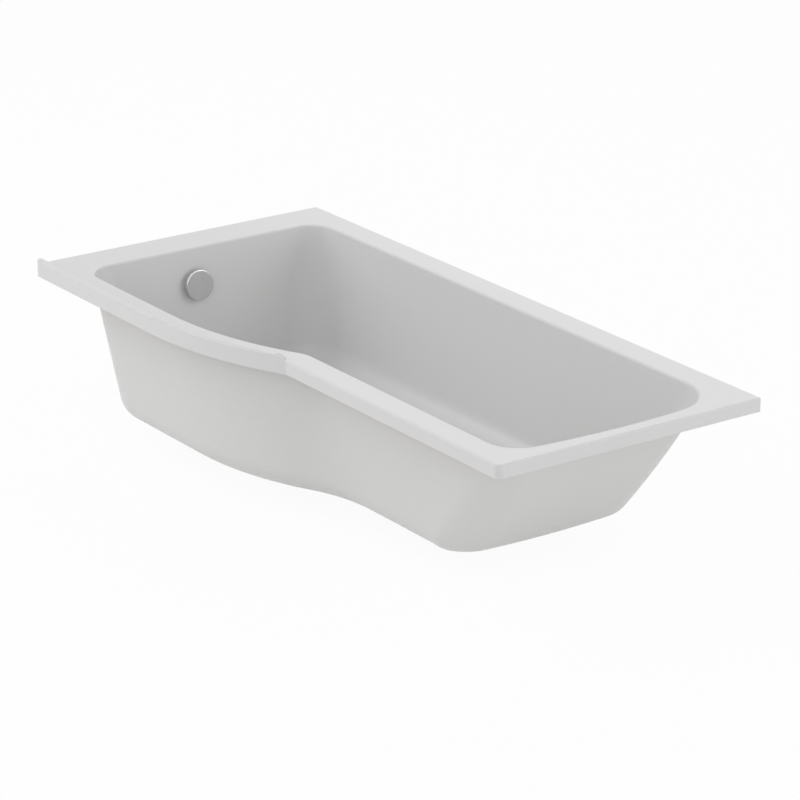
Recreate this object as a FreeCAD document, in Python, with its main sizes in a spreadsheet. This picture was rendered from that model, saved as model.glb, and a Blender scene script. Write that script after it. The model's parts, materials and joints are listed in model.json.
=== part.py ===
"""P-shaped shower bath: moulded shell, base board and feet, pop-up waste and overflow with its knob.

Frame: millimetres, +Z up, origin on the floor under the middle of the rim. +X runs from the tap end to
the backrest end, +Y to the wall behind the bath, and the bulged front faces -Y.
"""
import FreeCAD, Part
import math
import os
import re
import Sketcher
from FreeCAD import Placement, Rotation, Vector

SIZES = {
    # Moulded shell
    "bath_length": 1700,
    "bath_width": 800,
    "shell_depth": 336,
    "shell_wall": 6,
    # Rim with its apron, corners and bulged front
    "rim_drop": 31,
    "rim_wall": 5,
    "rim_edge_radius": 4,
    "wall_corner_radius": 5,
    "tap_front_corner_radius": 6,
    "backrest_front_corner_radius": 15,
    "bulge_depth": 100,
    "bulge_offset": 340,
    "bulge_radius": 900,
    "kink_radius": 18,
    "least_corner": 2,
    # Upstand bead for a shower screen, along the wide front
    "bead_width": 14,
    "bead_height": 12,
    "bead_edge_radius": 4,
    "bead_stop": 4,
    "bead_ramp": 20,
    # Basin opening in the rim
    "tap_ledge": 109,
    "backrest_ledge": 34,
    "back_ledge": 70,
    "front_ledge": 65,
    "opening_tap_back_corner": 60,
    "opening_tap_front_corner": 70,
    "opening_front_corner": 74,
    "opening_back_corner": 130,
    "opening_edge_radius": 5,
    "end_bow_radius": 2000,
    # Basin floor, and how far each wall leans in towards it
    "tap_wall_lean": 34,
    "back_wall_lean": 22,
    "front_wall_lean": 18,
    "narrow_wall_lean": 42,
    "backrest_run": 264,
    "backrest_crown": 9,
    "floor_back_corner": 95,
    "floor_front_corner": 166,
    "floor_backrest_front_corner": 96,
    "floor_backrest_back_corner": 90,
    "floor_kink_radius": 433,
    "floor_bulge_shift": 72,
    "floor_edge_radius": 46,
    # Timber: base board and rim battens
    "board_thickness": 18,
    "board_margin": 34,
    "board_waste_gap": 75,
    "board_corner": 20,
    "batten_width": 18,
    "batten_height": 22,
    "batten_gap": 15,
    # Leg rails under the board
    "rail_width": 40,
    "rail_height": 18,
    "rail_gauge": 3,
    "rail_overhang": 30,
    "tap_rail_inset": 155,
    "backrest_rail_inset": 122,
    "tap_foot_margin": 82.5,
    "backrest_foot_margin": 60.5,
    "rail_screw_outset": 18,
    "rail_screw_spacing": 22,
    "rail_screw_diameter": 4.5,
    "rail_screw_head_diameter": 9,
    "rail_screw_head_height": 3,
    "rail_screw_bite": 14,
    "pilot_room": 1,
    # Feet
    "stud_diameter": 10,
    "stud_rise": 14,
    "stud_spigot": 12,
    "spigot_room": 1,
    "stud_hole_room": 4,
    "nut_flats": 17,
    "nut_height": 8,
    "collar_height": 7,
    "foot_gap": 1,
    "pad_diameter": 52,
    "pad_top_diameter": 28,
    "pad_height": 23,
    "pad_base_height": 7,
    "pad_edge": 2,
    # Fits
    "running_clearance": 0.06,
    "loose_clearance": 0.2,
    "seat_gap": 0.05,
    # Waste in the basin floor
    "waste_inset": 290,
    "drain_offset": 29,
    "flange_diameter": 74,
    "flange_lip": 2,
    "flange_seal_thickness": 1,
    "flange_room": 1,
    "tail_diameter": 50,
    "tail_wall": 2.5,
    "tail_length": 25,
    "tail_room": 1,
    "spider_height": 9,
    "spider_rib": 3,
    "spider_hub_diameter": 16,
    "waste_seal_thickness": 3,
    "waste_rim_diameter": 84,
    "waste_rim_thickness": 4,
    "waste_body_diameter": 64,
    "waste_body_wall": 3.5,
    "waste_body_depth": 48,
    "outlet_diameter": 40,
    "outlet_wall": 2.5,
    "outlet_reach": 80,
    "outlet_shoulder": 2,
    "outlet_shoulder_diameter": 48,
    # Pop-up plug
    "plug_diameter": 62,
    "plug_thickness": 6,
    "plug_edge_radius": 3,
    "plug_boss_diameter": 14,
    "plug_boss_height": 5,
    "plug_seal_inner": 48,
    "plug_seal_width": 5,
    "plug_seal_thickness": 2,
    "stem_diameter": 8,
    "stem_reach": 45,
    "lifter_diameter": 18,
    "lifter_height": 9,
    "lifter_grip": 5,
    # Overflow casing behind the tap-end wall
    "overflow_depth": 90,
    "overflow_hole_diameter": 54,
    "overflow_seal_diameter": 68,
    "overflow_seal_thickness": 3,
    "casing_flange_diameter": 70,
    "casing_flange_thickness": 4,
    "casing_diameter": 58,
    "casing_wall": 3,
    "casing_length": 56,
    "casing_pipe_depth": 42,
    "pillar_diameter": 13,
    "pillar_length": 21,
    "pivot_boss_diameter": 14,
    "pivot_boss_height": 7,
    # Overflow knob, its spindle and the plate that clamps the casing to the wall
    "plate_diameter": 66,
    "plate_thickness": 4,
    "plate_water_hole": 11,
    "plate_water_circle": 34,
    "plate_water_holes": 6,
    "clamp_screw_circle": 40,
    "clamp_screw_diameter": 5,
    "clamp_screw_length": 28,
    "clamp_screw_head_diameter": 9,
    "clamp_screw_head_height": 3,
    "knob_diameter": 76,
    "knob_stand_off": 8,
    "knob_thickness": 10,
    "knob_wall": 3,
    "knob_edge_radius": 3,
    "knob_hub_diameter": 20,
    "spindle_diameter": 12,
    "spindle_tip_diameter": 10,
    "spindle_pivot_diameter": 6,
    "spindle_pivot_length": 6,
    "drum_diameter": 26,
    "drum_width": 8,
    "grub_diameter": 4,
    "grub_length": 5,
    # Overflow pipe with its compression nuts and seals
    "pipe_diameter": 28,
    "pipe_wall": 2,
    "pipe_bend_radius": 70,
    "socket_wall": 5,
    "socket_reach": 58,
    "pipe_insertion": 20,
    "pipe_seal_thickness": 4,
    "pipe_nut_flats": 46,
    "pipe_nut_skirt": 14,
    "pipe_nut_lip": 4,
    # Cable from the knob's drum to the plug's lifter
    "cable_diameter": 6,
    "cable_bend_radius": 60,
    "cable_lead": 15,
    "gland_diameter": 12,
    "gland_reach": 44,
    "gland_grip": 10,
    "gland_depth": 41,
}

SIDES = {"left": "-", "right": "+", "back": "+", "wide": "-", "narrow": "-"}
CORNERS = ("back_tap", "front_tap", "front_backrest", "back_backrest")

# Places and sizes that follow from the driving sizes, as formulas.
LAYOUT = {
    "rail_top": "pad_height + collar_height + foot_gap + nut_height + rail_gauge",
    "shell_bottom": "rail_top + board_thickness",
    "floor_top": "shell_bottom + shell_wall",
    "rim_top": "shell_bottom + shell_depth",
    # Outer plan of the rim
    "rim_left": "-bath_length / 2",
    "rim_right": "bath_length / 2",
    "rim_back": "bath_width / 2",
    "rim_wide": "-bath_width / 2",
    "rim_narrow": "rim_wide + bulge_depth",
    "rim_bulge_start": "-bulge_offset",
    "rim_bulge": "bulge_radius",
    "rim_kink": "kink_radius",
    "rim_back_tap": "wall_corner_radius",
    "rim_front_tap": "tap_front_corner_radius",
    "rim_front_backrest": "backrest_front_corner_radius",
    "rim_back_backrest": "wall_corner_radius",
    "bulge_sweep": "acos(1 - bulge_depth / (bulge_radius + kink_radius))",
    "kink_end": "rim_bulge_start + (bulge_radius + kink_radius) * sin(bulge_sweep)",
    # Plan of the basin at the rim
    "opening_left": "rim_left + tap_ledge",
    "opening_right": "rim_right - backrest_ledge",
    "opening_back": "rim_back - back_ledge",
    "opening_wide": "rim_wide + front_ledge",
    "opening_narrow": "rim_narrow + front_ledge",
    "opening_bulge_start": "rim_bulge_start",
    "opening_bulge": "bulge_radius - front_ledge",
    "opening_kink": "kink_radius + front_ledge",
    "opening_back_tap": "opening_tap_back_corner",
    "opening_front_tap": "opening_tap_front_corner",
    "opening_front_backrest": "opening_front_corner",
    "opening_back_backrest": "opening_back_corner",
    "opening_bow": "end_bow_radius",
    # Plan of the basin at its floor; its bulge turns through the same angle as the rim's
    "floor_left": "opening_left + tap_wall_lean",
    "floor_right": "opening_right - backrest_run",
    "floor_back": "opening_back - back_wall_lean",
    "floor_wide": "opening_wide + front_wall_lean",
    "floor_narrow": "opening_narrow + narrow_wall_lean",
    "floor_bulge_start": "rim_bulge_start + floor_bulge_shift",
    "floor_bulge": "(floor_narrow - floor_wide) / (1 - cos(bulge_sweep)) - floor_kink_radius",
    "floor_kink": "floor_kink_radius",
    "floor_back_tap": "floor_back_corner",
    "floor_front_tap": "floor_front_corner",
    "floor_front_backrest": "floor_backrest_front_corner",
    "floor_back_backrest": "floor_backrest_back_corner",
    "floor_bow": "end_bow_radius",
    # Levels half way up the basin and the tub's outside
    "basin_middle": "(rim_top + floor_top) / 2",
    "tub_middle": "(rim_top - rim_wall + shell_bottom) / 2",
    # Bead
    "bead_sweep": "bulge_sweep - 180 deg / pi * bead_stop / bulge_radius",
    "bead_outer_end": "rim_bulge_start + bulge_radius * sin(bead_sweep)",
    "bead_inner_radius": "bulge_radius - bead_width",
    "bead_inner_edge": "rim_wide + bead_width",
    # Heights of the feet
    "nut_bottom": "rail_top - rail_gauge - nut_height",
    "collar_bottom": "pad_height",
    "stud_top": "rail_top + stud_rise",
    # Waste
    "waste_x": "rim_left + waste_inset",
    "drain_y": "-drain_offset",
    "recess_depth": "flange_lip + flange_seal_thickness",
    "tail_bottom": "-flange_lip - tail_length",
    "tail_bore": "tail_diameter / 2 - tail_wall",
    "waste_body_top": "-shell_wall - waste_seal_thickness",
    "waste_body_bottom": "waste_body_top - waste_body_depth",
    "waste_bore": "tail_diameter / 2 + loose_clearance",
    "waste_cavity": "waste_body_diameter / 2 - waste_body_wall",
    "waste_cavity_top": "tail_bottom - tail_room",
    "waste_cavity_bottom": "waste_body_bottom + waste_body_wall",
    "outlet_level": "waste_body_bottom + outlet_diameter / 2 + outlet_wall",
    "outlet_shoulder_reach": "waste_body_diameter / 2 + outlet_shoulder",
    # Overflow: its axis stands square to the leaning tap-end wall
    "wall_slope": "tap_wall_lean / (shell_depth - shell_wall)",
    "wall_slope_outside": "tap_wall_lean / (shell_depth - rim_wall)",
    "overflow_cos": "1 / sqrt(1 + wall_slope ^ 2)",
    "overflow_sin": "wall_slope * overflow_cos",
    "overflow_turn": "90 deg - atan(wall_slope)",
    "overflow_x": "opening_left + wall_slope * overflow_depth",
    "overflow_z": "rim_top - overflow_depth",
    "overflow_outer_x": "opening_left - shell_wall + wall_slope_outside * (overflow_depth - rim_wall)",
    "overflow_wall": "(overflow_x - overflow_outer_x) * overflow_cos + seat_gap",
    "casing_front": "-overflow_wall - overflow_seal_thickness",
    "casing_back": "casing_front - casing_flange_thickness - casing_length",
    "casing_floor": "casing_back + casing_wall",
    "casing_bore": "casing_diameter / 2 - casing_wall",
    "pivot_boss_top": "casing_floor + pivot_boss_height",
    "spindle_back": "pivot_boss_top + running_clearance",
    "knob_front": "knob_stand_off + knob_thickness",
    "knob_inside": "knob_front - knob_wall",
    "spindle_front": "plate_thickness + seat_gap",
    "drum_low": "-gland_depth - drum_width / 2",
    "drum_high": "-gland_depth + drum_width / 2",
    "grub_level": "(knob_stand_off + knob_inside) / 2",
    # Pipe: from the casing's socket, along the wall, round a bend and level to the waste's socket
    "socket_bore": "pipe_diameter / 2 + loose_clearance",
    "socket_radius": "socket_bore + socket_wall",
    "socket_floor": "socket_reach - pipe_insertion",
    "pipe_nut_bore": "socket_radius + loose_clearance",
    "pipe_level": "floor_top + outlet_level",
    "pipe_root_x": "overflow_x - casing_pipe_depth * overflow_cos",
    "pipe_root_z": "overflow_z - casing_pipe_depth * overflow_sin",
    "pipe_top_x": "pipe_root_x + socket_floor * overflow_sin",
    "pipe_top_z": "pipe_root_z - socket_floor * overflow_cos",
    "pipe_mouth_x": "pipe_root_x + socket_reach * overflow_sin",
    "pipe_mouth_z": "pipe_root_z - socket_reach * overflow_cos",
    "pipe_drop": "(pipe_top_z - pipe_level) / overflow_cos",
    "pipe_bend_tangent": "pipe_bend_radius * tan(overflow_turn / 2)",
    "pipe_fall": "pipe_drop - pipe_bend_tangent",
    "pipe_run": "waste_x - socket_floor - pipe_top_x - pipe_drop * overflow_sin - pipe_bend_tangent",
    # Cable
    "cable_top_x": "overflow_x - gland_depth * overflow_cos",
    "cable_top_z": "overflow_z - gland_depth * overflow_sin",
    "cable_end_y": "gland_reach - gland_grip",
}


def offset_level(level, base, distance):
    """Adds the formulas of a plan that lies a distance outside the base plan."""
    for side, sign in SIDES.items():
        LAYOUT[f"{level}_{side}"] = f"{base}_{side} {sign} ({distance})"
    LAYOUT[f"{level}_bulge_start"] = f"{base}_bulge_start"
    LAYOUT[f"{level}_bulge"] = f"{base}_bulge + ({distance})"
    LAYOUT[f"{level}_kink"] = f"{base}_kink - ({distance})"
    for corner in CORNERS:
        LAYOUT[f"{level}_{corner}"] = f"max({base}_{corner} + ({distance}); least_corner)"
    if f"{base}_bow" in LAYOUT:
        LAYOUT[f"{level}_bow"] = f"{base}_bow + ({distance})"


def halfway_level(level, upper, lower):
    """Adds the formulas of a plan half way between two others, with the backrest crowned outwards."""
    for name in (*SIDES, *CORNERS, "bulge_start", "bulge", "kink", "bow"):
        LAYOUT[f"{level}_{name}"] = f"({upper}_{name} + {lower}_{name}) / 2"
    LAYOUT[f"{level}_right"] += " + backrest_crown"


halfway_level("halfway", "opening", "floor")
offset_level("hollow", "rim", "-rim_wall")
offset_level("tub_top", "opening", "shell_wall")
offset_level("tub_halfway", "halfway", "shell_wall")
offset_level("tub_floor", "floor", "shell_wall")
offset_level("board", "floor", "-floor_edge_radius - board_margin")
LAYOUT["board_left"] = "waste_x + board_waste_gap"
LAYOUT["board_back_tap"] = LAYOUT["board_front_tap"] = "board_corner"
BOWED_LEVELS = ("opening", "halfway", "floor", "tub_top", "tub_halfway", "tub_floor", "board")
for bowed_level in BOWED_LEVELS:
    LAYOUT[f"{bowed_level}_bow_x"] = f"{bowed_level}_right - {bowed_level}_bow"
    LAYOUT[f"{bowed_level}_bow_y"] = f"({bowed_level}_narrow + {bowed_level}_back) / 2"

# Rails and feet, set in from the board's edges
LAYOUT["tap_rail_x"] = "board_left + tap_rail_inset"
LAYOUT["backrest_rail_x"] = "board_right - backrest_rail_inset"
for rail_name, board_front in (("tap", "board_wide"), ("backrest", "board_narrow")):
    LAYOUT[f"{rail_name}_rail_y"] = f"(board_back + {board_front}) / 2"
    LAYOUT[f"{rail_name}_foot_spacing"] = f"board_back - {board_front} - 2 * {rail_name}_foot_margin"
    LAYOUT[f"{rail_name}_rail_half"] = f"{rail_name}_foot_spacing / 2 + rail_overhang"

# The four feet: name, rail and the side of the rail's middle that each stands on.
FEET = {
    "tap_front": ("tap", "-"),
    "tap_back": ("tap", "+"),
    "backrest_front": ("backrest", "-"),
    "backrest_back": ("backrest", "+"),
}
RAILS = ("tap", "backrest")


def expr(text):
    """Formula with each size's name led by the sheet that holds it."""
    def lead(match):
        name = match.group(0)
        if name in SIZES:
            return f"Sizes.{name}"
        return f"Layout.{name}" if name in LAYOUT else name
    return re.sub(r"[a-z][a-z_]*", lead, text)


def fill_sheet(name, rows):
    sheet = doc.addObject("Spreadsheet::Sheet", name)
    for number, (alias, content) in enumerate(rows.items(), start=1):
        sheet.set(f"A{number}", content)
        sheet.setAlias(f"A{number}", alias)
    doc.recompute()
    return sheet


doc = FreeCAD.newDocument("ShowerBath")
sizes = fill_sheet("Sizes", {alias: str(number) for alias, number in SIZES.items()})
layout = fill_sheet("Layout", {alias: "=" + expr(formula) for alias, formula in LAYOUT.items()})


def value(alias):
    """Number that a cell of either sheet holds."""
    number = (sizes if alias in SIZES else layout).get(alias)
    return float(getattr(number, "Value", number))


# Helpers for sketches and solids

def new_body(label):
    return doc.addObject("PartDesign::Body", label)


def new_sketch(body, name, role, height=None):
    """Sketch on one of the body's own origin planes, raised by a formula."""
    sketch = body.newObject("Sketcher::SketchObject", name)
    plane = next(feature for feature in body.Origin.OriginFeatures if feature.Role == role)
    sketch.AttachmentSupport = [(plane, "")]
    sketch.MapMode = "FlatFace"
    if height:
        sketch.setExpression("AttachmentOffset.Base.z", expr(height))
    return sketch


def hold(sketch, kind, *items, size):
    """Adds a dimension that starts at a cell's value and stays bound to it."""
    index = sketch.addConstraint(Sketcher.Constraint(kind, *items, value(size)))
    sketch.setExpression(f"Constraints[{index}]", expr(size))


def hold_point(sketch, geometry, vertex, across, up):
    """Fixes a point of a sketch by two formulas, where "0" lies on the sketch's axis."""
    for kind, axis, formula in (("DistanceX", -2, across), ("DistanceY", -1, up)):
        if formula == "0":
            sketch.addConstraint(Sketcher.Constraint("PointOnObject", geometry, vertex, axis))
        else:
            index = sketch.addConstraint(Sketcher.Constraint(kind, -1, 1, geometry, vertex, 1.0 + geometry))
            sketch.setExpression(f"Constraints[{index}]", expr(formula))


def polygon(body, name, role, points, height=None):
    """Closed sketch with straight sides, from pairs of formulas."""
    sketch = new_sketch(body, name, role, height)
    count = len(points)
    corners = [Vector(math.cos(math.tau * turn / count), math.sin(math.tau * turn / count), 0)
               for turn in range(count)]
    for index in range(count):
        sketch.addGeometry(Part.LineSegment(corners[index], corners[(index + 1) % count]), False)
    for index in range(count):
        sketch.addConstraint(Sketcher.Constraint("Coincident", index, 2, (index + 1) % count, 1))
    for index, (across, up) in enumerate(points):
        hold_point(sketch, index, 1, across, up)
    return sketch


def circles(body, name, role, centres, radius, height=None):
    """Sketch of equal circles, with their centres as pairs of formulas."""
    sketch = new_sketch(body, name, role, height)
    for index, (across, up) in enumerate(centres):
        sketch.addGeometry(Part.Circle(Vector(index, index, 0), Vector(0, 0, 1), 1.0), False)
        hold_point(sketch, index, 3, across, up)
        constraint = sketch.addConstraint(Sketcher.Constraint("Radius", index, 1.0))
        sketch.setExpression(f"Constraints[{constraint}]", expr(radius))
    return sketch


def add_pad(body, name, sketch, length, symmetric=False, reverse=False):
    pad = body.newObject("PartDesign::Pad", name)
    pad.Profile = sketch
    pad.setExpression("Length", expr(length))
    pad.SideType = "Symmetric" if symmetric else "One side"
    pad.Reversed = reverse
    return pad


def add_pocket(body, name, sketch, length, symmetric=False, reverse=False):
    """Pocket that has to take material away."""
    doc.recompute()
    before = body.Shape.Volume
    pocket = body.newObject("PartDesign::Pocket", name)
    pocket.Profile = sketch
    pocket.setExpression("Length", expr(length))
    pocket.SideType = "Symmetric" if symmetric else "One side"
    pocket.Reversed = reverse
    doc.recompute()
    if pocket.Shape.isNull() or pocket.Shape.Volume >= before:
        raise RuntimeError(f"pocket {name} cuts nothing")
    return pocket


def add_turning(body, name, profile):
    """Solid turned about the body's Z axis from (radius, height) formulas."""
    turning = body.newObject("PartDesign::Revolution", name)
    sketch = polygon(body, f"{name}_profile", "XZ_Plane", profile)
    turning.Profile = sketch
    turning.ReferenceAxis = (sketch, ["V_Axis"])
    turning.Angle = 360
    return turning


def turned(label, profile):
    body = new_body(label)
    add_turning(body, f"{label}_turning", profile)
    return body


def ring_profile(inner, outer, low, high):
    return [(inner, low), (outer, low), (outer, high), (inner, high)]


def edge_names(shape, test):
    return [f"Edge{number}" for number, edge in enumerate(shape.Edges, start=1) if test(edge)]


def at_height(height):
    """Test for edges that lie level at a height."""
    def lies_level(edge):
        box = edge.BoundBox
        return max(abs(box.ZMin - height), abs(box.ZMax - height)) < 0.01
    return lies_level


def round_edges(body, name, names, radius):
    base = body.Tip
    fillet = body.newObject("PartDesign::Fillet", name)
    fillet.Base = (base, names)
    fillet.setExpression("Radius", expr(radius))
    doc.recompute()


def place(item, x="0", y="0", z="0", axis=None, turn=None):
    """Binds an object's place to formulas, after a turn about an axis."""
    if turn:
        item.Placement = Placement(Vector(0, 0, 0), Rotation(axis, 1.0))
        item.setExpression("Placement.Rotation.Angle", expr(turn))
    for letter, formula in (("x", x), ("y", y), ("z", z)):
        item.setExpression(f"Placement.Base.{letter}", expr(formula))
    return item


def rod(name, radius, low, high, x="0", y="0"):
    """Upright cylinder between two heights."""
    cylinder = doc.addObject("Part::Cylinder", name)
    cylinder.setExpression("Radius", expr(radius))
    cylinder.setExpression("Height", expr(f"({high}) - ({low})"))
    return place(cylinder, x, y, low)


def hexagon(name, flats, low, high, x="0", y="0"):
    """Upright hexagonal prism between two heights."""
    prism = doc.addObject("Part::Prism", name)
    prism.Polygon = 6
    prism.setExpression("Circumradius", expr(f"{flats} / 2 / cos(30 deg)"))
    prism.setExpression("Height", expr(f"({high}) - ({low})"))
    return place(prism, x, y, low)


def block(label, x, y, z):
    """Box between pairs of formulas."""
    box = doc.addObject("Part::Box", label)
    for name, (low, high) in (("Length", x), ("Width", y), ("Height", z)):
        box.setExpression(name, expr(f"({high}) - ({low})"))
    return place(box, x[0], y[0], z[0])


def fused(label, solids):
    fusion = doc.addObject("Part::MultiFuse", label)
    fusion.Shapes = solids
    return fusion


def cut(label, base, tool):
    difference = doc.addObject("Part::Cut", label)
    difference.Base = base
    difference.Tool = tool
    return difference


def grouped(label, solids):
    group = doc.addObject("Part::Compound", label)
    group.Links = solids
    return group


# Plan of the bath at one level

def arc(centre, radius, start, end):
    """Arc drawn anticlockwise between two directions in degrees."""
    circle = Part.Circle(centre, Vector(0, 0, 1), radius)
    return Part.ArcOfCircle(circle, math.radians(start), math.radians(end))


def bath_plan(body, name, level, height):
    """Closed sketch of the P-shaped plan, anticlockwise from the wide front."""
    sketch = new_sketch(body, name, "XY_Plane", height)
    left, right, back, wide, narrow = (value(f"{level}_{side}") for side in SIDES)
    back_tap, front_tap, front_backrest, back_backrest = (value(f"{level}_{corner}") for corner in CORNERS)
    start, bulge, kink = (value(f"{level}_{name}") for name in ("bulge_start", "bulge", "kink"))
    sweep = value("bulge_sweep")
    kink_end = start + (bulge + kink) * math.sin(math.radians(sweep))
    front_y = narrow + front_backrest
    back_y = back - back_backrest
    bowed = level in BOWED_LEVELS
    if bowed:
        bow = value(f"{level}_bow")
        bow_x = value(f"{level}_bow_x")
        bow_y = value(f"{level}_bow_y")
        front_x = bow_x + math.sqrt((bow - front_backrest) ** 2 - (front_y - bow_y) ** 2)
        back_x = bow_x + math.sqrt((bow - back_backrest) ** 2 - (back_y - bow_y) ** 2)
        front_turn = math.degrees(math.atan2(front_y - bow_y, front_x - bow_x))
        back_turn = math.degrees(math.atan2(back_y - bow_y, back_x - bow_x))
        end = arc(Vector(bow_x, bow_y, 0), bow, front_turn, back_turn)
    else:
        front_x = right - front_backrest
        back_x = right - back_backrest
        front_turn = back_turn = 0
        end = Part.LineSegment(Vector(right, front_y, 0), Vector(right, back_y, 0))
    edges = {
        "wide": Part.LineSegment(Vector(left + front_tap, wide, 0), Vector(start, wide, 0)),
        "bulge": arc(Vector(start, wide + bulge, 0), bulge, -90, -90 + sweep),
        "kink": arc(Vector(kink_end, narrow - kink, 0), kink, 90, 90 + sweep),
        "narrow": Part.LineSegment(Vector(kink_end, narrow, 0), Vector(front_x, narrow, 0)),
        "front_backrest": arc(Vector(front_x, front_y, 0), front_backrest, -90, front_turn),
        "end": end,
        "back_backrest": arc(Vector(back_x, back_y, 0), back_backrest, back_turn, 90),
        "back": Part.LineSegment(Vector(back_x, back, 0), Vector(left + back_tap, back, 0)),
        "back_tap": arc(Vector(left + back_tap, back - back_tap, 0), back_tap, 90, 180),
        "left": Part.LineSegment(Vector(left, back - back_tap, 0), Vector(left, wide + front_tap, 0)),
        "front_tap": arc(Vector(left + front_tap, wide + front_tap, 0), front_tap, 180, 270),
    }
    sketch.addGeometry(list(edges.values()), False)
    number = {edge: index for index, edge in enumerate(edges)}
    # Each edge runs on smoothly into the next; the kink's hollow arc is drawn the other way round.
    starts = {edge: (number[edge], 2 if edge == "kink" else 1) for edge in edges}
    ends = {edge: (number[edge], 1 if edge == "kink" else 2) for edge in edges}
    order = list(edges)
    for edge, following in zip(order, order[1:] + order[:1]):
        sketch.addConstraint(Sketcher.Constraint("Tangent", *ends[edge], *starts[following]))
    for edge in ("wide", "narrow", "back"):
        sketch.addConstraint(Sketcher.Constraint("Horizontal", number[edge]))
        hold(sketch, "DistanceY", -1, 1, number[edge], 1, size=f"{level}_{edge}")
    sketch.addConstraint(Sketcher.Constraint("Vertical", number["left"]))
    hold(sketch, "DistanceX", -1, 1, number["left"], 1, size=f"{level}_left")
    for edge in CORNERS + ("bulge", "kink"):
        hold(sketch, "Radius", number[edge], size=f"{level}_{edge}")
    hold(sketch, "DistanceX", -1, 1, number["wide"], 2, size=f"{level}_bulge_start")
    if bowed:
        hold(sketch, "Radius", number["end"], size=f"{level}_bow")
        hold(sketch, "DistanceX", -1, 1, number["end"], 3, size=f"{level}_bow_x")
        hold(sketch, "DistanceY", -1, 1, number["end"], 3, size=f"{level}_bow_y")
    else:
        sketch.addConstraint(Sketcher.Constraint("Vertical", number["end"]))
        hold(sketch, "DistanceX", -1, 1, number["end"], 1, size=f"{level}_right")
    return sketch


# Moulded shell

def bead_plan(body):
    """Strip along the outer edge of the wide front, from the tap end to the kink."""
    sketch = new_sketch(body, "bead_plan", "XY_Plane", "rim_top - rim_wall")
    left, wide, start = value("rim_left"), value("rim_wide"), value("rim_bulge_start")
    corner, bulge, inner = value("rim_front_tap"), value("rim_bulge"), value("bead_inner_radius")
    inner_edge = value("bead_inner_edge")
    sweep = value("bead_sweep")
    centre = Vector(start, wide + bulge, 0)
    outer_arc = arc(centre, bulge, -90, -90 + sweep)
    inner_arc = arc(centre, inner, -90, -90 + sweep)
    sketch.addGeometry([
        Part.LineSegment(Vector(left + corner, wide, 0), Vector(start, wide, 0)),
        outer_arc,
        Part.LineSegment(outer_arc.EndPoint, inner_arc.EndPoint),
        inner_arc,
        Part.LineSegment(Vector(start, inner_edge, 0), Vector(left, inner_edge, 0)),
        Part.LineSegment(Vector(left, inner_edge, 0), Vector(left, wide + corner, 0)),
        arc(Vector(left + corner, wide + corner, 0), corner, 180, 270),
    ], False)
    for kind, items in (
        ("Tangent", (0, 2, 1, 1)), ("Perpendicular", (1, 2, 2, 1)), ("Perpendicular", (2, 2, 3, 2)),
        ("Tangent", (3, 1, 4, 1)), ("Coincident", (4, 2, 5, 1)), ("Tangent", (5, 2, 6, 1)),
        ("Tangent", (6, 2, 0, 1)), ("Horizontal", (0,)), ("Horizontal", (4,)), ("Vertical", (5,)),
    ):
        sketch.addConstraint(Sketcher.Constraint(kind, *items))
    hold(sketch, "DistanceX", -1, 1, 0, 2, size="rim_bulge_start")
    hold(sketch, "DistanceY", -1, 1, 0, 2, size="rim_wide")
    hold(sketch, "DistanceY", -1, 1, 4, 1, size="bead_inner_edge")
    hold(sketch, "DistanceX", -1, 1, 5, 1, size="rim_left")
    hold(sketch, "Radius", 1, size="rim_bulge")
    hold(sketch, "Radius", 3, size="bead_inner_radius")
    hold(sketch, "Radius", 6, size="rim_front_tap")
    hold(sketch, "DistanceX", -1, 1, 1, 2, size="bead_outer_end")
    return sketch


def loop_names(shape, height, outer):
    """Names of the outer or inner edges of the level face at a height."""
    face = next(face for face in shape.Faces if at_height(height)(face))
    loops = [wire for wire in face.Wires if wire.isSame(face.OuterWire) == outer]
    chosen = [edge for wire in loops for edge in wire.Edges]
    return edge_names(shape, lambda edge: any(edge.isSame(other) for other in chosen))


def add_bead(body):
    """Bead along the wide front, whose end runs down to the rim in a ramp."""
    add_pad(body, "bead", bead_plan(body), "rim_wall + bead_height")
    top = "rim_top + bead_height"
    ramp = polygon(body, "bead_ramp_plan", "XZ_Plane", [
        ("bead_outer_end - bead_ramp", top), ("bead_outer_end", "rim_top"),
        ("bead_outer_end + bead_width", top)])
    add_pocket(body, "bead_ramp", ramp, "2 * bath_width", symmetric=True)
    top_edges = edge_names(body.Shape, at_height(value("rim_top") + value("bead_height")))
    round_edges(body, "bead_top_edges", top_edges, "bead_edge_radius")


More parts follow.
